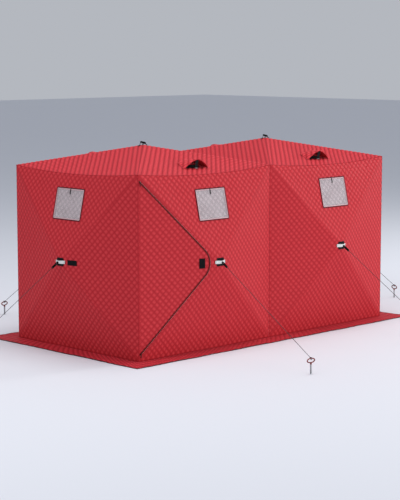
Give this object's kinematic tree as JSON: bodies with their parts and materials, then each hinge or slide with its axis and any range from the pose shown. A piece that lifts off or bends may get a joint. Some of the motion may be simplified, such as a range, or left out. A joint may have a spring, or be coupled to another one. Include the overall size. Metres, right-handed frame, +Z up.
{
  "type": "pop-up ice fishing shelter",
  "caption": "Long quilted pop-up ice fishing shelter with pushed-out hub panels, a zipped corner door, covered windows, roof vents, a snow skirt and guy ropes on ice anchors.",
  "frame": {"origin": "on the ground under the middle of the floor plan", "axes": "+X along the long side, +Y from the door side to the back, +Z up; the door faces -Y"},
  "size_m": [5.892, 4.7751, 1.9896],
  "materials": {
    "quilted_red": "quilted matte",
    "plain_red": "matte",
    "clear_vinyl": "clear gloss",
    "grey_cover": "matte",
    "black_webbing": "matte",
    "reflective_strap": "satin",
    "zip": "satin",
    "rod": "satin",
    "hub": "satin",
    "mesh": "open mesh",
    "prop": "satin",
    "rope": "braided",
    "ring": "gloss",
    "shaft": "zinc"
  },
  "bodies": {
    "tent": {"anchor_rings": "ring", "anchor_shafts": "shaft", "corner_cups": "black_webbing", "door_zip_frame_side": "zip", "end_patch": "black_webbing", "guy_ropes": "rope", "hub_back_left": "hub", "hub_back_right": "hub", "hub_front_left": "hub", "hub_front_right": "hub", "hub_left_end": "hub", "hub_patches": "black_webbing", "hub_pull_straps": "reflective_strap", "hub_right_end": "hub", "hub_roof_left": "hub", "hub_roof_right": "hub", "rods_back_left": "rod", "rods_back_right": "rod", "rods_front_left": "rod", "rods_front_right": "rod", "rods_left_end": "rod", "rods_right_end": "rod", "rods_roof_left": "rod", "rods_roof_right": "rod", "roof_left": "quilted_red", "roof_pull_straps": "black_webbing", "roof_right": "quilted_red", "rope_tails": "black_webbing", "snow_skirt": "plain_red", "vent_hoods": "plain_red", "vent_props": "prop", "vent_screens": "mesh", "wall_back_left": "quilted_red", "wall_back_right": "quilted_red", "wall_front_left": "quilted_red", "wall_front_right": "quilted_red", "wall_left_end": "quilted_red", "wall_right_end": "quilted_red", "window_covers": "grey_cover", "window_panes": "clear_vinyl", "window_tabs": "black_webbing"},
    "door": {"door_flap": "quilted_red", "door_zip_flap_side": "zip", "door_tip_patch": "black_webbing"}
  },
  "joints": [
    {"name": "door_hinge", "type": "hinge", "parent": "tent", "child": "door", "pos_m": [-1.78798, -0.9026, 0.88], "axis": [0, 0, -1], "range_deg": [0, 120]}
  ]
}
